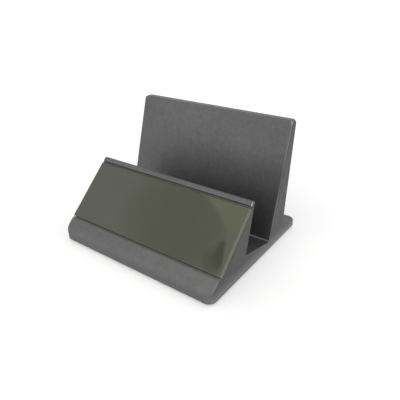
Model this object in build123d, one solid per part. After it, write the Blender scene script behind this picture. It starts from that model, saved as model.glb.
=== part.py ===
from build123d import *
from math import atan2, cos, degrees, radians, sin, tan
import os

# A desk stand for business cards: a moulded shell with a sloped front, a card slot and a leaning back rest.
# Millimetres and degrees. The origin is under the middle of the foot pads, +X right, +Y back, +Z up.
# Side view sizes are depths back from the front edge and heights up from the shell's underside.

# Shell, overall
body_width = 101.4
body_depth = 88.4
body_height = 66.6
side_draft = 0.6
plan_corner_radius = 4.2
side_edge_radius = 0.8
bottom_edge_radius = 0.7

# Shell, front wedge
nose_height = 4.89
nose_radius = 6.5
nose_trim = 0.2
front_slope = 42.8
lip_bead_radius = 1.28

# Shell, card slot
slot_front_depth = 30.05
slot_front_height = 10.15
slot_front_lean = 15.6
slot_front_fillet = 0.8
slot_back_fillet = 1.2

# Shell, back rest and rear flange
rest_front_lean = 16.8
rest_rear_lean = 7.35
rest_top_thickness = 4.5
rest_corner_radius = 2.2
rest_foot_fillet = 1.5
flange_height = 4.05
flange_depth = 18.0

# Shell, walls and ribs of the cored underside
wall = 2.2
side_wall = 2.4
floor_wall = 1.9
floor_gap = 0.95
plate_wall = 1.8
core_corner_radius = 1.6
core_tip_width = 1.4
core_tip_radius = 0.5
rib_thickness = 1.6
rib_spacing = 34.0

# Shell, screw bosses on the outer ribs
boss_diameter = 6.0
boss_height = 11.0
front_boss_depth = 16.1
rear_boss_setback = 7.5

# Name plate in its pocket, a shallow shadow gap above and below it, its backing sheet and two strips of tape
band_length = 8.59
lip_length = 6.3
lower_gap_width = 1.3
upper_gap_width = 1.1
shadow_gap_depth = 1.0
plate_clearance = 0.15
plate_thickness = 2.0
plate_end_radius = 0.7
plate_edge_chamfer = 0.3
backing_thickness = 0.15
backing_margin = 0.3
tape_thickness = 0.25
tape_width = 8.0
tape_edge_margin = 2.0
tape_end_margin = 4.0

# Base cover, let into the underside
cover_thickness = 1.6
cover_inset = 0.2
cover_rim = 1.3
cover_corner_radius = 2.7
cover_clearance = 0.2
cover_edge_chamfer = 0.3

# Cover screws
screw_diameter = 2.2
screw_length = 8.0
screw_tip_length = 1.2
screw_tip_diameter = 0.8
screw_head_diameter = 4.4
screw_head_height = 1.1
screw_clearance = 0.05
pilot_run_out = 1.0
driver_width = 0.8
driver_span = 2.6
driver_depth = 0.7

# Foot pads
foot_diameter = 8.0
foot_proud = 0.8
foot_pocket_depth = 0.4
foot_clearance = 0.1
foot_edge_chamfer = 0.3
foot_side_margin = 9.0
foot_front_margin = 9.0
foot_rear_margin = 8.0

# How far every cutting shape runs past what it cuts
overrun = 1.0

# Round pieces are drawn standing on their lower end
standing = (Align.CENTER, Align.CENTER, Align.MIN)


def along(line, distance):
    """The side view point at a distance along a line, which is a start point and an angle."""
    (depth, height), angle = line
    turn = radians(angle)
    return depth + distance * cos(turn), height + distance * sin(turn)


def beside(line, distance):
    """A side view line moved sideways, to the right of its direction."""
    start, angle = line
    return along((start, angle - 90), distance), angle


def meet(first, second):
    """The side view point where two lines cross."""
    (depth_a, height_a), angle_a = first
    (depth_b, height_b), angle_b = second
    turn_a, turn_b = radians(angle_a), radians(angle_b)
    reach = (depth_b - depth_a) * sin(turn_b) - (height_b - height_a) * cos(turn_b)
    return along(first, reach / sin(turn_b - turn_a))


def place(point):
    """A side view point as Y and Z of the model."""
    depth, height = point
    return depth - body_depth / 2, height + foot_proud


def level(height):
    """The horizontal plane at a height above the shell's underside."""
    return Plane.XY.offset(height + foot_proud)


def spot(across, depth, height):
    """A place given by its distance from the middle, its depth and its height."""
    return Pos(across, *place((depth, height)))


# Side view lines and corners: the back rest is set out from the rear edge, and the slot floor reaches to it
slope_line = ((0, nose_height), front_slope)
slot_front_line = ((slot_front_depth, slot_front_height), 90 - slot_front_lean)
lip_tip = meet(slope_line, slot_front_line)
rest_foot = (body_depth - flange_depth, flange_height)
rest_top_rear = meet((rest_foot, 90 - rest_rear_lean), ((0, body_height), 0))
rest_rear_line = (rest_top_rear, 90 - rest_rear_lean)
rest_top_front = (rest_top_rear[0] - rest_top_thickness, body_height)
cover_seat = cover_inset + cover_thickness
slot_back_height = cover_seat + floor_gap + floor_wall
floor_back = meet((rest_top_front, 90 - rest_front_lean), ((0, slot_back_height), 0))
rest_front_line = (floor_back, 90 - rest_front_lean)
floor_fall = degrees(atan2(slot_front_height - slot_back_height, floor_back[0] - slot_front_depth))
floor_line = ((slot_front_depth, slot_front_height), -floor_fall)

# Plate, pocket and shadow gaps share the slope's length between the front band and the lip
slope_length = lip_tip[0] / cos(radians(front_slope))
recess_length = slope_length - band_length - lip_length
plate_start = band_length + lower_gap_width
plate_length = recess_length - lower_gap_width - upper_gap_width
pocket_start = plate_start - plate_clearance
pocket_length = plate_length + 2 * plate_clearance
pocket_depth = plate_thickness + backing_thickness + tape_thickness
slope_plane = Plane(
    origin=(0, *place((0, nose_height))),
    x_dir=(1, 0, 0),
    z_dir=(0, -sin(radians(front_slope)), cos(radians(front_slope))),
)

# Screws and feet in plan: distance from the middle, depth from the front
boss_places = [
    (side * rib_spacing, depth)
    for depth in (front_boss_depth, floor_back[0] + rear_boss_setback)
    for side in (-1, 1)
]
foot_across = body_width / 2 - foot_side_margin
foot_places = {
    "front_left_foot": (-foot_across, foot_front_margin),
    "front_right_foot": (foot_across, foot_front_margin),
    "rear_left_foot": (-foot_across, body_depth - foot_rear_margin),
    "rear_right_foot": (foot_across, body_depth - foot_rear_margin),
}


def side_face(corners):
    """A face in the side view, from pairs of a corner point and its rounding radius."""
    points = [place(point) for point, radius in corners]
    face = make_face(Polyline(*points, close=True))
    for point, (corner, radius) in zip(points, corners):
        if radius:
            face = fillet(face.vertices().sort_by_distance(point)[0], radius)
    return Plane.YZ * face


def plan_prism(inset, corner_radius):
    """The base's rounded plan, drawn in on all sides and carried up with the draft of the sides."""
    width = body_width - 2 * inset
    depth = body_depth - 2 * inset
    top = body_height + overrun
    narrowing = 2 * top * tan(radians(side_draft))
    low = level(0) * RectangleRounded(width, depth, corner_radius)
    high = level(top) * RectangleRounded(width - narrowing, depth, corner_radius)
    return loft([low, high], ruled=True)


def full_width(face):
    """A side view face carried across the body and a little past both sides."""
    return extrude(face, amount=body_width / 2 + overrun, both=True)


def slope_slab(start, length, depth, thickness, width):
    """A slab lying along the front slope, its top at a depth under the slope's surface."""
    return slope_plane * Pos(0, start + length / 2, -depth - thickness / 2) * Box(width, length, thickness)


def shell_outside():
    """The outside of the shell: side profile and tapered plan, then the rounded edges."""
    # The plan trims the front of the nose, where its rounding would run out upright
    nose_front = ((-nose_trim, 0), 90)
    profile = side_face([
        ((-nose_trim, 0), 0),
        (meet(nose_front, slope_line), nose_radius),
        (lip_tip, lip_bead_radius),
        ((slot_front_depth, slot_front_height), slot_front_fillet),
        (floor_back, slot_back_fillet),
        (rest_top_front, 0),
        (rest_top_rear, 0),
        (rest_foot, rest_foot_fillet),
        ((body_depth, flange_height), 0),
        ((body_depth, 0), 0),
    ])
    body = full_width(profile) & plan_prism(0, plan_corner_radius)
    top_corners = body.edges().group_by(Axis.Z)[-1].filter_by(Axis.Y)
    body = fillet(top_corners, rest_corner_radius)
    # The rounding of these long edges runs on round the slot, the lip, the top and the flange
    long_edges = [
        body.edges().sort_by_distance((side * body_width / 2, *place(along(line, distance))))[0]
        for line, distance in ((rest_front_line, body_height / 2), (rest_rear_line, -body_height / 2))
        for side in (-1, 1)
    ]
    body = fillet(long_edges, side_edge_radius)
    return fillet(body.faces().sort_by(Axis.Z)[0].edges(), bottom_edge_radius)


def shell_core():
    """The hollow in wedge, slot floor and back rest, less the ribs and the screw bosses."""
    seat_line = ((0, cover_seat), 0)
    front_inside = ((side_wall, 0), 90)
    band_inside = beside(slope_line, wall)
    plate_inside = beside(slope_line, pocket_depth + plate_wall)
    step_line = (along(slope_line, pocket_start - wall), front_slope - 90)
    slot_front_inside = beside(slot_front_line, -wall)
    floor_inside = beside(floor_line, floor_wall)
    rest_front_inside = beside(rest_front_line, wall)
    rest_rear_inside = beside(rest_rear_line, -wall)
    closing_share = tan(radians(rest_front_lean)) - tan(radians(rest_rear_lean))
    tip_height = meet(rest_front_inside, rest_rear_inside)[1] - core_tip_width / closing_share
    tip_line = ((0, tip_height), 0)
    profile = side_face([
        (meet(seat_line, front_inside), 0),
        (meet(front_inside, band_inside), 0),
        (meet(band_inside, step_line), 0),
        (meet(plate_inside, step_line), 0),
        (meet(plate_inside, slot_front_inside), core_tip_radius),
        (meet(slot_front_inside, floor_inside), 0),
        (meet(floor_inside, rest_front_inside), 0),
        (meet(rest_front_inside, tip_line), core_tip_radius),
        (meet(rest_rear_inside, tip_line), core_tip_radius),
        (meet(rest_rear_inside, seat_line), 0),
    ])
    core = full_width(profile) & plan_prism(side_wall, core_corner_radius)
    rib = Box(rib_thickness, body_depth, body_height)
    for side in (-1, 0, 1):
        core -= spot(side * rib_spacing, body_depth / 2, body_height / 2) * rib
    boss = Cylinder(boss_diameter / 2, boss_height, align=standing)
    for across, depth in boss_places:
        core -= spot(across, depth, cover_seat) * boss
    return core


def stand_shell():
    """The moulded shell: plate pocket, cored underside, seat for the cover and screw holes."""
    shell = shell_outside()
    across = body_width + overrun
    shell -= slope_slab(band_length, recess_length, -overrun, shadow_gap_depth + overrun, across)
    shell -= slope_slab(pocket_start, pocket_length, -overrun, pocket_depth + overrun, across)
    shell -= shell_core()
    opening = RectangleRounded(body_width - 2 * cover_rim, body_depth - 2 * cover_rim, cover_corner_radius)
    shell -= extrude(level(-overrun) * opening, cover_seat + overrun)
    pilot_depth = screw_length - cover_thickness + pilot_run_out
    pilot = Cylinder(screw_diameter / 2 + screw_clearance, pilot_depth, align=standing)
    for across, depth in boss_places:
        shell -= spot(across, depth, cover_seat) * pilot
    return shell


def name_plate():
    """The glossy plate, cut off level with the sides, its ends rounded over and its long edges bevelled."""
    outward = Axis((0, 0, 0), slope_plane.z_dir)
    plate = slope_slab(plate_start, plate_length, 0, plate_thickness, body_width + overrun)
    plate &= plan_prism(0, plan_corner_radius)
    end_edges = plate.faces().sort_by(outward)[-1].edges().sort_by(Axis.X)
    plate = fillet([end_edges[0], end_edges[-1]], plate_end_radius)
    long_edges = plate.faces().sort_by(outward)[-1].edges().filter_by(Axis.X)
    return chamfer(long_edges, plate_edge_chamfer)


def plate_backing():
    """The thin coloured sheet on the back of the plate."""
    length = plate_length - 2 * backing_margin
    sheet = slope_slab(plate_start + backing_margin, length, plate_thickness, backing_thickness, body_width)
    return sheet & plan_prism(backing_margin, plan_corner_radius)


def tape(start):
    """One strip of tape between the backing sheet and the floor of the recess."""
    depth = plate_thickness + backing_thickness
    strip = slope_slab(start, tape_width, depth, tape_thickness, body_width)
    return strip & plan_prism(tape_end_margin, plan_corner_radius)


def countersunk(clearance):
    """A screw's head and shank, head down, grown all round by a clearance."""
    radius = screw_diameter / 2 + clearance
    head_radius = screw_head_diameter / 2 + clearance
    head = Cone(head_radius, radius, screw_head_height, align=standing)
    shank = Cylinder(radius, screw_length - screw_tip_length, align=standing)
    return head + shank


def cover_screw():
    """One countersunk self-tapping screw, head down, with a cross recess in its head."""
    screw = countersunk(0)
    tip = Cone(screw_diameter / 2, screw_tip_diameter / 2, screw_tip_length, align=standing)
    screw += Pos(0, 0, screw_length - screw_tip_length) * tip
    for turn in (0, 90):
        screw -= Rot(0, 0, turn) * Box(driver_span, driver_width, 2 * driver_depth)
    return screw


def cover_screws():
    """The four screws, in the shell's bosses and level with the cover's underside."""
    return Compound(children=[
        (spot(across, depth, cover_inset) * cover_screw()).solid()
        for across, depth in boss_places
    ])


def base_cover():
    """The flat plate that closes the underside, with countersunk holes and pockets for the feet."""
    margin = 2 * (cover_rim + cover_clearance)
    outline = RectangleRounded(body_width - margin, body_depth - margin, cover_corner_radius)
    cover = extrude(level(cover_inset) * outline, cover_thickness)
    cover = chamfer(cover.faces().sort_by(Axis.Z)[0].edges(), cover_edge_chamfer)
    for across, depth in boss_places:
        cover -= spot(across, depth, cover_inset) * countersunk(screw_clearance)
    pocket = Cylinder(foot_diameter / 2 + foot_clearance, 2 * foot_pocket_depth)
    for across, depth in foot_places.values():
        cover -= spot(across, depth, cover_inset) * pocket
    return cover


def foot(across, depth):
    """One rubber pad, from the bottom of its pocket down to the desk."""
    height = foot_proud + cover_inset + foot_pocket_depth
    pad = Cylinder(foot_diameter / 2, height, align=standing)
    pad = chamfer(pad.edges().sort_by(Axis.Z)[0], foot_edge_chamfer)
    return spot(across, depth, -foot_proud) * pad


parts = {
    "stand_shell": stand_shell(),
    "name_plate": name_plate(),
    "plate_backing": plate_backing(),
    "upper_tape": tape(plate_start + plate_length - tape_edge_margin - tape_width),
    "lower_tape": tape(plate_start + tape_edge_margin),
    "base_cover": base_cover(),
    "cover_screws": cover_screws(),
}
for name, (across, depth) in foot_places.items():
    parts[name] = foot(across, depth)

os.makedirs("parts", exist_ok=True)
for name, piece in parts.items():
    export_step(piece, f"parts/{name}.step")
    print(name, "solids", len(piece.solids()), "volume", round(piece.volume, 2))
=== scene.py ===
import bpy
import numpy as np
from mathutils import Matrix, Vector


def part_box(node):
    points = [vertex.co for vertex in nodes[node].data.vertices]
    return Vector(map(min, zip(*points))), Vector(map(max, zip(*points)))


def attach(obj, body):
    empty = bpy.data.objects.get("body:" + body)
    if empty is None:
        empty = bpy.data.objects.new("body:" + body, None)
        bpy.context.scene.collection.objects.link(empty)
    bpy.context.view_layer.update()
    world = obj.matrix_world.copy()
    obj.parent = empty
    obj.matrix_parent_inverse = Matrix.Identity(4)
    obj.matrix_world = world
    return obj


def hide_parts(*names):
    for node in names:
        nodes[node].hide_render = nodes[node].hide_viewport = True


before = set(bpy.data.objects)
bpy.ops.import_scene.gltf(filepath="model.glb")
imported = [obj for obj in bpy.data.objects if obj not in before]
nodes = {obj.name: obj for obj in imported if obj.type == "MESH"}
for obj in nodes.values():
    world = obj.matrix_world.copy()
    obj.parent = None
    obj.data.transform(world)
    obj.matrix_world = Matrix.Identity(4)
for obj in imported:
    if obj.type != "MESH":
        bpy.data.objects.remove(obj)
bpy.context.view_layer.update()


# camera at the photograph's angle, found from the straight edges of the stand
view = {
    "target": (0.01473, -0.00251, 0.02637),  # point on the camera's axis, near the stand's middle
    "distance": 0.22118,                     # from that point to the lens
    "azimuth": 36.378,                       # round from the front, towards the right end
    "elevation": 27.988,
    "roll": -1.084,
    "sensor": 36.0,                          # mm
    "lens": 37.144,                          # mm, on that sensor
    "clipStart": 0.01,
}


def towards(azimuth, elevation):
    # unit vector from the stand: azimuth round from the front, elevation up
    turn, lift = np.radians([azimuth, elevation])
    return np.array([np.sin(turn) * np.cos(lift), -np.cos(turn) * np.cos(lift), np.sin(lift)])


def makeCamera():
    turn, roll = np.radians([view["azimuth"], view["roll"]])
    back = towards(view["azimuth"], view["elevation"])
    level = np.array([np.cos(turn), np.sin(turn), 0.0])
    right = level * np.cos(roll) + np.cross(back, level) * np.sin(roll)
    place = np.array(view["target"]) + back * view["distance"]
    columns = np.column_stack([right, np.cross(back, right), back, place])
    data = bpy.data.cameras.new("camera")
    data.sensor_width = view["sensor"]
    data.lens = view["lens"]
    data.clip_start = view["clipStart"]
    camera = bpy.data.objects.new("camera", data)
    camera.matrix_world = Matrix([*columns.tolist(), [0, 0, 0, 1]])
    bpy.context.scene.collection.objects.link(camera)
    bpy.context.scene.camera = camera


makeCamera()
print("camera made")


# helpers for node trees
axes = {"right": (1, 0, 0), "front": (0, -1, 0), "rear": (0, 1, 0), "up": (0, 0, 1)}


def link(tree, out, into):
    tree.links.new(out, into)


def feed(tree, value, into):
    # a colour or a number is set on the socket, and another socket is linked to it
    if isinstance(value, tuple):
        into.default_value = (*value, 1)
    elif isinstance(value, (int, float)):
        into.default_value = value
    else:
        link(tree, value, into)


def mixColour(tree, factor, first, second, kind="MIX"):
    # first where the factor is 0; second, or with another kind what that makes of both, where it is 1
    blend = tree.nodes.new("ShaderNodeMix")
    blend.data_type = "RGBA"
    blend.blend_type = kind
    for name, value in (("A", first), ("B", second), ("Factor", factor)):
        feed(tree, value, blend.inputs[name])
    return blend.outputs["Result"]


def mixValue(tree, factor, first, second):
    # the same for plain values
    blend = tree.nodes.new("ShaderNodeMix")
    for name, value in (("A", first), ("B", second), ("Factor", factor)):
        feed(tree, value, blend.inputs[name])
    return blend.outputs["Result"]


def combine(tree, operation, *values):
    # one operation on numbers and sockets
    step = tree.nodes.new("ShaderNodeMath")
    step.operation = operation
    for into, value in zip(step.inputs, values):
        feed(tree, value, into)
    return step.outputs[0]


def product(tree, first, *others):
    for other in others:
        first = combine(tree, "MULTIPLY", first, other)
    return first


def dot(tree, vector, direction):
    # how far a vector reaches along a fixed direction
    step = tree.nodes.new("ShaderNodeVectorMath")
    step.operation = "DOT_PRODUCT"
    step.inputs[1].default_value = direction
    link(tree, vector, step.inputs[0])
    return step.outputs["Value"]


def spread(tree, value, low, high, inLow=0.25, inHigh=0.75, smooth=False):
    # a value carried from one range, where none is given that of most noise, to another
    scale = tree.nodes.new("ShaderNodeMapRange")
    scale.interpolation_type = "SMOOTHSTEP" if smooth else "LINEAR"
    scale.inputs["From Min"].default_value = inLow
    scale.inputs["From Max"].default_value = inHigh
    scale.inputs["To Min"].default_value = low
    scale.inputs["To Max"].default_value = high
    link(tree, value, scale.inputs["Value"])
    return scale.outputs["Result"]


def rise(tree, value, start, end):
    # 0 up to the start, 1 from the end on, and smooth between them
    return spread(tree, value, 0, 1, start, end, smooth=True)


def fall(tree, value, start, end):
    # 1 up to the start, 0 from the end on, and smooth between them
    return spread(tree, value, 1, 0, start, end, smooth=True)


# light: a white tent with soft round panels in it, each given by where it stands and from where to where it fades;
# an edge, through two directions, cuts a panel off along a line, and the fade says how softly
tent = {
    "shown": (1.0, 1.0, 1.0),       # seen by the camera past the floor, and between the panels in reflections
    "level": (0.74, 0.74, 0.74),    # lights the stand from between the panels
    "panels": {
        "keyBox": {"towards": (46, 40), "radius": (8, 26), "colour": (3.2, 3.2, 3.16)},
        "frontCard": {"towards": (-44, 26), "radius": (8, 32), "colour": (1.22, 1.22, 1.22)},
        "upperCard": {"towards": (-8, 50), "radius": (8, 32), "colour": (1.60, 1.60, 1.60)},
        "backCard": {"towards": (150, 45), "radius": (15, 40), "colour": (1.20, 1.20, 1.20)},
        "farCard": {"towards": (-145, 26), "radius": (10, 32), "colour": (0.95, 0.95, 0.95)},
        "leftCard": {"towards": (-74, 30), "radius": (8, 24), "colour": (0.92, 0.93, 0.97)},
        "greyCard": {"towards": (-50, 44), "radius": (3, 9), "colour": (0.62, 0.62, 0.58)},
        "lowCard": {"towards": (-39.9, 45.1), "radius": (0.3, 2.1), "colour": (0.45, 0.45, 0.42)},
        "warmCard": {"towards": (-43, 55), "radius": (6, 12), "colour": (1.45, 1.54, 1.00),
                     "edge": ((-53.20, 48.80), (-41.00, 48.90)), "fade": 0.012},
        "rimCard": {"towards": (-38.4, 47.4), "radius": (1.5, 4.0), "colour": (1.25, 1.32, 0.92),
                    "edge": ((-41.56, 48.35), (-37.90, 44.90)), "fade": 0.003},
        "darkCardHigh": {"towards": (-40.5, 47.3), "radius": (0.2, 1.3), "colour": (0.0, 0.0, 0.0),
                         "edge": ((-37.90, 44.90), (-41.56, 48.35)), "fade": 0.0015},
        "darkCardLow": {"towards": (-39.5, 46.2), "radius": (0.4, 1.6), "colour": (0.0, 0.0, 0.0),
                        "edge": ((-37.90, 44.90), (-41.56, 48.35)), "fade": 0.0015},
    },
}


def mirrored(tree, path):
    # 1 for rays from a shiny or clear surface, which see the white round the stand too
    return combine(tree, "MAXIMUM", path.outputs["Is Glossy Ray"], path.outputs["Is Transmission Ray"])


def makeWorld():
    world = bpy.data.worlds.new("tent")
    world.use_nodes = True
    tree = world.node_tree
    direction = tree.nodes.new("ShaderNodeTexCoord").outputs["Generated"]
    colour = tent["level"]
    for panel in tent["panels"].values():
        full, gone = np.cos(np.radians(panel["radius"]))
        share = rise(tree, dot(tree, direction, towards(*panel["towards"])), gone, full)
        if "edge" in panel:
            across = np.cross(*(towards(*end) for end in panel["edge"]))
            side = dot(tree, direction, across / np.linalg.norm(across))
            share = product(tree, share, rise(tree, side, 0, panel["fade"]))
        colour = mixColour(tree, share, colour, panel["colour"])
    path = tree.nodes.new("ShaderNodeLightPath")
    whiter = tuple(np.subtract(tent["shown"], tent["level"]).tolist())
    colour = mixColour(tree, mirrored(tree, path), colour, whiter, "ADD")
    colour = mixColour(tree, path.outputs["Is Camera Ray"], colour, tent["shown"])
    link(tree, colour, tree.nodes["Background"].inputs["Color"])
    bpy.context.scene.world = world


# floor: plain pale paper, lifted to white where the camera or a reflection sees it, so that its shadow stays faint
floorPaper = {
    "size": 8.0,
    "seen": (0.74, 0.74, 0.742),
    "bounced": (0.59, 0.59, 0.593),    # colour of the light that it throws on the stand
    "roughness": 0.9,
    "specular": 0.0,
    "glow": (1.0, 1.0, 1.0),
    "lift": 0.24,                      # strength of the glow
}


def makeFloor():
    half = floorPaper["size"] / 2
    corners = [(-half, -half, 0), (half, -half, 0), (half, half, 0), (-half, half, 0)]
    mesh = bpy.data.meshes.new("floor")
    mesh.from_pydata(corners, [], [(0, 1, 2, 3)])
    floor = bpy.data.objects.new("floor", mesh)
    bpy.context.scene.collection.objects.link(floor)
    material = bpy.data.materials.new("floorPaper")
    material.use_nodes = True
    tree = material.node_tree
    paper = tree.nodes["Principled BSDF"]
    paper.inputs["Roughness"].default_value = floorPaper["roughness"]
    paper.inputs["Specular IOR Level"].default_value = floorPaper["specular"]
    paper.inputs["Emission Color"].default_value = (*floorPaper["glow"], 1)
    path = tree.nodes.new("ShaderNodeLightPath")
    direct = combine(tree, "MAXIMUM", path.outputs["Is Camera Ray"], mirrored(tree, path))
    colour = mixColour(tree, direct, floorPaper["bounced"], floorPaper["seen"])
    link(tree, colour, paper.inputs["Base Color"])
    link(tree, product(tree, direct, floorPaper["lift"]), paper.inputs["Emission Strength"])
    mesh.materials.append(material)


makeWorld()
makeFloor()
print("tent and floor made")


# finishes: every one reads Object coordinates
def startFinish(name):
    material = bpy.data.materials.new(name)
    material.use_nodes = True
    tree = material.node_tree
    coords = tree.nodes.new("ShaderNodeTexCoord").outputs["Object"]
    return material, tree, tree.nodes["Principled BSDF"], coords


def noise(tree, coords, grain, detail=2.0, stretch=(1, 1, 1)):
    # value round 0.5 that varies over lengths of about one grain
    mapping = tree.nodes.new("ShaderNodeMapping")
    mapping.inputs["Scale"].default_value = stretch
    texture = tree.nodes.new("ShaderNodeTexNoise")
    texture.inputs["Scale"].default_value = 1 / grain
    texture.inputs["Detail"].default_value = detail
    link(tree, coords, mapping.inputs["Vector"])
    link(tree, mapping.outputs["Vector"], texture.inputs["Vector"])
    return texture.outputs["Fac"]


def flakes(tree, coords, size):
    # one random value for every cell of a given size
    texture = tree.nodes.new("ShaderNodeTexVoronoi")
    texture.inputs["Scale"].default_value = 1 / size
    link(tree, coords, texture.inputs["Vector"])
    grey = tree.nodes.new("ShaderNodeSeparateColor")
    link(tree, texture.outputs["Color"], grey.inputs["Color"])
    return grey.outputs["Red"]


def bump(tree, height, strength, depth):
    relief = tree.nodes.new("ShaderNodeBump")
    relief.inputs["Strength"].default_value = strength
    relief.inputs["Distance"].default_value = depth
    link(tree, height, relief.inputs["Height"])
    return relief.outputs["Normal"]


def facing(tree):
    # how far the surface faces along each axis, either way, from 0 to 1
    size = tree.nodes.new("ShaderNodeVectorMath")
    size.operation = "ABSOLUTE"
    link(tree, tree.nodes.new("ShaderNodeNewGeometry").outputs["Normal"], size.inputs[0])
    parts = tree.nodes.new("ShaderNodeSeparateXYZ")
    link(tree, size.outputs["Vector"], parts.inputs["Vector"])
    return parts.outputs["X"], parts.outputs["Y"], parts.outputs["Z"]


# satin metallic paint on the moulding, speckled, with light and shade painted in: painted shade on the ends,
# painted floor light low on them, painted shade down in the gaps along the plate, painted highlights on rounded
# corners, and a soft band of painted shade across the front of the rest
shellPaint = {
    "dark": (0.0925, 0.0925, 0.0933),
    "light": (0.1475, 0.1475, 0.1483),
    "flake": 0.00045,                      # sizes of the speckle, from fine to wide
    "mottle": 0.003,
    "cloud": 0.03,
    "mottleShare": 0.5,                    # of the mottle against the flakes
    "cloudShare": 0.35,                    # of the cloud against both
    "speckleDetail": 3,                    # of mottle and cloud
    # painted shade on the ends: faces that look sideways darken part of the way to this colour
    "ends": (0.0, 0.0, 0.0),
    "endShadeStrength": 0.25,
    "endShadeNormals": (0.8, 0.97),             # facing sideways, from none to full
    # painted light from the floor, low on the upright faces and most on the ends
    "paintedFloorLight": (0.208, 0.208, 0.209),
    "floorLightHeights": (0.001, 0.0095),        # from full to none
    "floorLightNormals": (0.75, 0.95),           # facing up or down, from full to none
    "floorLightEnds": (0.35, 1.0),               # strength on faces that don't face sideways, and on those that do
    # painted shade down in the gaps along the plate
    "paintedGapShade": (0.088, 0.088, 0.088),
    # painted highlight on the rounded corners
    "paintedCornerHighlight": (0.26, 0.26, 0.26),
    "cornerNormals": (0.15, 0.42),         # facing along every axis, from none to full
    "cornerHeights": (0.010, 0.016),       # from none to full
    "cornerBehind": 0.02,                  # full at any height behind this
    # painted shade: a soft dark band across the front of the rest
    "paintedRestShade": (0.016, 0.016, 0.016),
    "restShadeStrength": 0.24,
    "restShadeHeights": (0.023, 0.0385, 0.053),  # from none, to most, to none
    "restShadeSides": (-0.035, 0.008),           # weak to full, from left to right
    "restShadeWeak": 0.35,
    "restShadeBehind": 0.010,                    # none in front of this
    "restShadeNormals": (0.3, 0.6),              # facing forward, from none to full
    "metallic": 1.0,
    "roughness": (0.45, 0.53),
    "grain": 0.0006,
    "grainStrength": 0.12,
    "grainDepth": 0.00004,
}
# where the painted shade lies in the gaps above and below the plate
frontSlope = {
    "start": (0.0, -0.0442, 0.00569),   # foot of the slope, in the middle
    "angle": 42.8,
    "gapMiddles": (0.00942, 0.04569),   # distances up the slope
    "gapHalf": 0.00055,
    "gapDepth": (0.0001, 0.0006),       # from where to where the painted shade darkens
    "gapFloor": 0.00105,
    "gapEnds": (0.0470, 0.0507),        # from where to where light comes in at the open ends
}


def gapShadeShare(tree, coords):
    # painted shade: 1 down in the gaps above and below the plate, else 0: by distance up the slope, depth under it
    # and distance from the open ends, where light comes in
    turn = np.radians(frontSlope["angle"])
    upSlope = np.array([0, np.cos(turn), np.sin(turn)])
    inward = np.array([0, np.sin(turn), -np.cos(turn)])
    start = np.array(frontSlope["start"])
    reach = combine(tree, "SUBTRACT", dot(tree, coords, upSlope), float(start @ upSlope))
    depth = combine(tree, "SUBTRACT", dot(tree, coords, inward), float(start @ inward))
    inside = combine(tree, "ADD", *(combine(tree, "COMPARE", reach, middle, frontSlope["gapHalf"])
                                    for middle in frontSlope["gapMiddles"]))
    above = combine(tree, "LESS_THAN", depth, frontSlope["gapFloor"])
    deep = rise(tree, depth, *frontSlope["gapDepth"])
    sideways = combine(tree, "ABSOLUTE", dot(tree, coords, axes["right"]))
    shaded = fall(tree, sideways, *frontSlope["gapEnds"])
    return product(tree, inside, above, deep, shaded)


def cornerHighlightShare(tree, coords):
    # painted highlight: 1 on rounded corners, which face well along all three axes, high up or on the rear flange,
    # else 0
    sideways, forward, upward = facing(tree)
    least = combine(tree, "MINIMUM", combine(tree, "MINIMUM", sideways, forward), upward)
    corner = rise(tree, least, *shellPaint["cornerNormals"])
    high = rise(tree, dot(tree, coords, axes["up"]), *shellPaint["cornerHeights"])
    behind = combine(tree, "GREATER_THAN", dot(tree, coords, axes["rear"]), shellPaint["cornerBehind"])
    return product(tree, corner, combine(tree, "MAXIMUM", high, behind))


def restShadeShare(tree, coords):
    # painted shade: a soft band across the front of the rest, stronger towards the right, else 0
    height = dot(tree, coords, axes["up"])
    low, middle, high = shellPaint["restShadeHeights"]
    rising = spread(tree, height, 0, shellPaint["restShadeStrength"], low, middle, smooth=True)
    falling = fall(tree, height, middle, high)
    sideways = dot(tree, coords, axes["right"])
    sides = spread(tree, sideways, shellPaint["restShadeWeak"], 1, *shellPaint["restShadeSides"], smooth=True)
    behind = combine(tree, "GREATER_THAN", dot(tree, coords, axes["rear"]), shellPaint["restShadeBehind"])
    normal = tree.nodes.new("ShaderNodeNewGeometry").outputs["Normal"]
    forward = rise(tree, dot(tree, normal, axes["front"]), *shellPaint["restShadeNormals"])
    return product(tree, rising, falling, sides, behind, forward)


def floorLightShare(tree, coords):
    # painted floor light: 1 low on the ends, less on the other upright faces, where the floor shines on them, else
    # 0
    low = fall(tree, dot(tree, coords, axes["up"]), *shellPaint["floorLightHeights"])
    sideways, _, upward = facing(tree)
    upright = fall(tree, upward, *shellPaint["floorLightNormals"])
    ends = spread(tree, sideways, *shellPaint["floorLightEnds"], 0, 1)
    return product(tree, low, upright, ends)


def endShadeShare(tree):
    # painted shade: part of the way to dark on faces that look sideways, else 0
    sideways = facing(tree)[0]
    return spread(tree, sideways, 0, shellPaint["endShadeStrength"], *shellPaint["endShadeNormals"], smooth=True)


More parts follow.
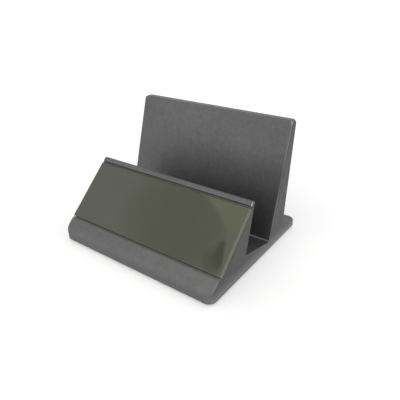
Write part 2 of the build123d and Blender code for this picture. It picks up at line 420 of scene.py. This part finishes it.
def makeShellPaint():
    material, tree, paint, coords = startFinish("shellPaint")
    detail = shellPaint["speckleDetail"]
    sparkle = flakes(tree, coords, shellPaint["flake"])
    mottle = spread(tree, noise(tree, coords, shellPaint["mottle"], detail), 0, 1)
    cloud = spread(tree, noise(tree, coords, shellPaint["cloud"], detail), 0, 1)
    speckle = mixValue(tree, shellPaint["mottleShare"], sparkle, mottle)
    tone = mixValue(tree, shellPaint["cloudShare"], speckle, cloud)
    colour = mixColour(tree, tone, shellPaint["dark"], shellPaint["light"])
    # painted light and shade, each laid over the paint's colour in turn
    paintedMarks = {
        "ends": endShadeShare(tree),
        "paintedFloorLight": floorLightShare(tree, coords),
        "paintedGapShade": gapShadeShare(tree, coords),
        "paintedCornerHighlight": cornerHighlightShare(tree, coords),
        "paintedRestShade": restShadeShare(tree, coords),
    }
    for markName, share in paintedMarks.items():
        colour = mixColour(tree, share, colour, shellPaint[markName])
    link(tree, colour, paint.inputs["Base Color"])
    grain = noise(tree, coords, shellPaint["grain"])
    link(tree, spread(tree, grain, *shellPaint["roughness"]), paint.inputs["Roughness"])
    relief = bump(tree, grain, shellPaint["grainStrength"], shellPaint["grainDepth"])
    link(tree, relief, paint.inputs["Normal"])
    paint.inputs["Metallic"].default_value = shellPaint["metallic"]
    return material


# polished olive plate, its saw-cut ends paler and duller
plateGloss = {
    "face": (0.0465, 0.0505, 0.0320),
    "faceCloud": (0.0515, 0.0555, 0.0360),
    "cloud": 0.018,
    "cutEnd": (0.112, 0.117, 0.084),
    "cutNormals": (0.2, 0.7),          # facing sideways, from face to cut end
    "cutRoughness": 0.42,
    "faceRoughness": (0.015, 0.03),
    "smear": 0.012,                    # size of the smears in the polish
    "smearDetail": 3,
    "smearStretch": (0.4, 1, 1),       # drawn out along the plate
    "wave": 0.022,                     # size of the waves in the face
    "waveDetail": 1,
    "waveStrength": 1.0,
    "waveDepth": 0.00006,
    "refraction": 1.5,
}


def makePlateGloss():
    material, tree, gloss, coords = startFinish("plateGloss")
    cloud = spread(tree, noise(tree, coords, plateGloss["cloud"]), 0, 1)
    face = mixColour(tree, cloud, plateGloss["face"], plateGloss["faceCloud"])
    cutEnd = spread(tree, facing(tree)[0], 0, 1, *plateGloss["cutNormals"])
    link(tree, mixColour(tree, cutEnd, face, plateGloss["cutEnd"]), gloss.inputs["Base Color"])
    smear = noise(tree, coords, plateGloss["smear"], plateGloss["smearDetail"], plateGloss["smearStretch"])
    polish = spread(tree, smear, *plateGloss["faceRoughness"])
    link(tree, mixValue(tree, cutEnd, polish, plateGloss["cutRoughness"]), gloss.inputs["Roughness"])
    wave = noise(tree, coords, plateGloss["wave"], plateGloss["waveDetail"])
    link(tree, bump(tree, wave, plateGloss["waveStrength"], plateGloss["waveDepth"]), gloss.inputs["Normal"])
    gloss.inputs["IOR"].default_value = plateGloss["refraction"]
    return material


# plain finishes of the pieces that are mostly out of sight; strength and depth are those of the grain's relief
plainFinishes = {
    "coverPlastic": {"dark": (0.045, 0.045, 0.047), "light": (0.062, 0.062, 0.064), "grain": 0.0009,
                     "roughness": (0.5, 0.62), "strength": 0.35, "depth": 0.0001, "metallic": 0.0},
    "screwSteel": {"dark": (0.30, 0.30, 0.31), "light": (0.42, 0.42, 0.43), "grain": 0.0004,
                   "roughness": (0.28, 0.42), "strength": 0.1, "depth": 0.00003, "metallic": 1.0},
    "footRubber": {"dark": (0.016, 0.016, 0.016), "light": (0.030, 0.030, 0.030), "grain": 0.0007,
                   "roughness": (0.75, 0.9), "strength": 0.3, "depth": 0.00008, "metallic": 0.0},
    "foamTape": {"dark": (0.022, 0.022, 0.022), "light": (0.040, 0.040, 0.040), "grain": 0.0003,
                 "roughness": (0.85, 0.95), "strength": 0.5, "depth": 0.0001, "metallic": 0.0},
    "backingSheet": {"dark": (0.100, 0.104, 0.058), "light": (0.120, 0.125, 0.070), "grain": 0.004,
                     "roughness": (0.5, 0.6), "strength": 0.05, "depth": 0.00002, "metallic": 0.0},
}


def makePlain(name):
    values = plainFinishes[name]
    material, tree, surface, coords = startFinish(name)
    grain = noise(tree, coords, values["grain"])
    tone = spread(tree, grain, 0, 1)
    link(tree, mixColour(tree, tone, values["dark"], values["light"]), surface.inputs["Base Color"])
    link(tree, spread(tree, grain, *values["roughness"]), surface.inputs["Roughness"])
    link(tree, bump(tree, grain, values["strength"], values["depth"]), surface.inputs["Normal"])
    surface.inputs["Metallic"].default_value = values["metallic"]
    return material


def dress(material, *names):
    for name in names:
        mesh = nodes[name].data
        mesh.materials.clear()
        mesh.materials.append(material)


dress(makeShellPaint(), "stand_shell")
dress(makePlateGloss(), "name_plate")
dress(makePlain("backingSheet"), "plate_backing")
dress(makePlain("foamTape"), "upper_tape", "lower_tape")
dress(makePlain("coverPlastic"), "base_cover")
print("finishes made")


def roundAngles(columns):
    # even angles round a full turn, in radians
    return np.linspace(0, 2 * np.pi, columns, endpoint=False)


# turned pieces: radius and height are functions of a row, running from under the middle outwards and then up,
# and of an angle round an upright axis; both ends close on the axis
def turnedPiece(name, centres, radii, heights, poles, material, sharpness):
    rows, columns = radii.shape
    angles = roundAngles(columns)
    rings = np.stack([radii * np.cos(angles), radii * np.sin(angles), heights], axis=-1).reshape(-1, 3)
    shape = np.concatenate([rings, [[0, 0, poles[0]], [0, 0, poles[1]]]])
    here = np.arange(rows * columns).reshape(rows, columns)
    after = np.roll(here, -1, axis=1)
    quads = np.stack([here[:-1], after[:-1], after[1:], here[1:]], axis=-1).reshape(-1, 4)
    under = np.stack([np.full(columns, rows * columns), after[0], here[0]], axis=-1)
    over = np.stack([np.full(columns, rows * columns + 1), here[-1], after[-1]], axis=-1)
    caps = np.concatenate([under, over])
    copies = np.arange(len(centres))[:, None, None] * len(shape)
    points = (np.array(centres)[:, None] + shape).reshape(-1, 3)
    faces = (copies + quads).reshape(-1, 4).tolist() + (copies + caps).reshape(-1, 3).tolist()
    mesh = bpy.data.meshes.new(name)
    mesh.from_pydata(points.tolist(), [], faces)
    mesh.shade_smooth()
    mesh.set_sharp_from_angle(angle=np.radians(sharpness))
    mesh.materials.append(material)
    piece = bpy.data.objects.new(name, mesh)
    bpy.context.scene.collection.objects.link(piece)
    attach(piece, "root")
    return piece


# rubber feet: a sole dished inside the ring that stands on the desk, a rounded rim and a wall with a little draft
footShape = {
    "dish": 0.00015,
    "ringWidth": 0.0012,
    "rimRadius": 0.0004,
    "draft": 0.0001,
    "steps": 8,            # rows in the sole, and in the rim
    "columns": 72,
    "sharpness": 50,
}
feet = {
    "frontLeftFoot": "front_left_foot",
    "frontRightFoot": "front_right_foot",
    "rearLeftFoot": "rear_left_foot",
    "rearRightFoot": "rear_right_foot",
}


def makeFoot(name, node, material):
    # the sole's height falls with the square of the radius, and the rim is a quarter circle
    low, high = np.array(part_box(node))
    radius, height = (high[0] - low[0]) / 2, high[2] - low[2]
    centre = [(low[0] + high[0]) / 2, (low[1] + high[1]) / 2, low[2]]
    rim = footShape["rimRadius"]
    sole = radius - rim
    outward = np.linspace(0, 1, footShape["steps"] + 1)[1:]
    swing = np.linspace(-np.pi / 2, 0, footShape["steps"] + 1)
    radii = np.concatenate([(sole - footShape["ringWidth"]) * outward, sole + rim * np.cos(swing),
                            [radius - footShape["draft"]]])
    heights = np.concatenate([footShape["dish"] * (1 - outward ** 2), rim * (1 + np.sin(swing)), [height]])
    grid = np.ones((len(radii), footShape["columns"]))
    piece = turnedPiece(name, [centre], radii[:, None] * grid, heights[:, None] * grid,
                        (footShape["dish"], height), material, footShape["sharpness"])
    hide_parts(node)


footRubber = makePlain("footRubber")
for footName, footNode in feet.items():
    makeFoot(footName, footNode, footRubber)
print("feet made")


# cover screws: a flat countersunk head with a cross recess, then a tapping thread up to a blunt tip
screwShape = {
    "headRadius": 0.0022,
    "headHeight": 0.0011,
    "armHalfLength": 0.0013,
    "armHalfWidth": 0.0004,
    "recessDepth": 0.0007,
    "recessSlope": 0.00018,
    "crestRadius": 0.0011,
    "rootRadius": 0.0008,
    "pitch": 0.0009,
    "flank": 0.75,           # share of the pitch that the ridge takes
    "tipLength": 0.0012,
    "tipRadius": 0.0004,
    "faceRows": 26,
    "coneRows": 5,
    "threadRows": 90,
    "columns": 80,
    "sharpness": 40,
}


def within(value, half):
    # 1 nearer to the middle than half, falling to 0 over the recess's slope, whose middle is there
    return np.clip((half - np.abs(value)) / screwShape["recessSlope"] + 0.5, 0, 1)


def evenRows(first, last, count):
    # even steps from after the first value to the last, alike at every angle
    steps = np.linspace(first, last, count + 1)[1:, None]
    return np.repeat(steps, screwShape["columns"], axis=1)


def makeScrews(material):
    low, high = np.array(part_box("cover_screws"))
    head, coneTop, length = screwShape["headRadius"], screwShape["headHeight"], high[2] - low[2]
    places = [(low[axis] + head, high[axis] - head) for axis in (0, 1)]
    centres = [(x, y, low[2]) for x in places[0] for y in places[1]]
    angles = roundAngles(screwShape["columns"])[None, :]
    # face: the recess's depth is that of the deeper of two crossed bars
    faceRadii = head * evenRows(0, 1, screwShape["faceRows"])
    across, along = faceRadii * np.cos(angles), faceRadii * np.sin(angles)
    armLong, armWide = screwShape["armHalfLength"], screwShape["armHalfWidth"]
    barAcross = within(across, armLong) * within(along, armWide)
    barAlong = within(along, armLong) * within(across, armWide)
    faceHeights = screwShape["recessDepth"] * np.maximum(barAcross, barAlong)
    # cone: radius falls evenly from the head's rim to the thread's crest
    share = evenRows(0, 1, screwShape["coneRows"])
    coneRadii, coneHeights = head + (screwShape["crestRadius"] - head) * share, coneTop * share
    # thread: a ridge that climbs one pitch a turn, tapered over the tip
    threadHeights = evenRows(coneTop, length, screwShape["threadRows"])
    phase = (threadHeights / screwShape["pitch"] - angles / (2 * np.pi)) % 1
    ridge = np.clip(1 - np.abs(2 * phase - 1) / screwShape["flank"], 0, 1)
    shank = screwShape["rootRadius"] + (screwShape["crestRadius"] - screwShape["rootRadius"]) * ridge
    taper = np.clip((length - threadHeights) / screwShape["tipLength"], 0, 1)
    threadRadii = screwShape["tipRadius"] + (shank - screwShape["tipRadius"]) * taper
    piece = turnedPiece("coverScrews", centres, np.concatenate([faceRadii, coneRadii, threadRadii]),
                        np.concatenate([faceHeights, coneHeights, threadHeights]),
                        (screwShape["recessDepth"], length), material, screwShape["sharpness"])
    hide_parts("cover_screws")


makeScrews(makePlain("screwSteel"))
print("screws made")


bpy.context.scene.view_settings.view_transform = "Standard"
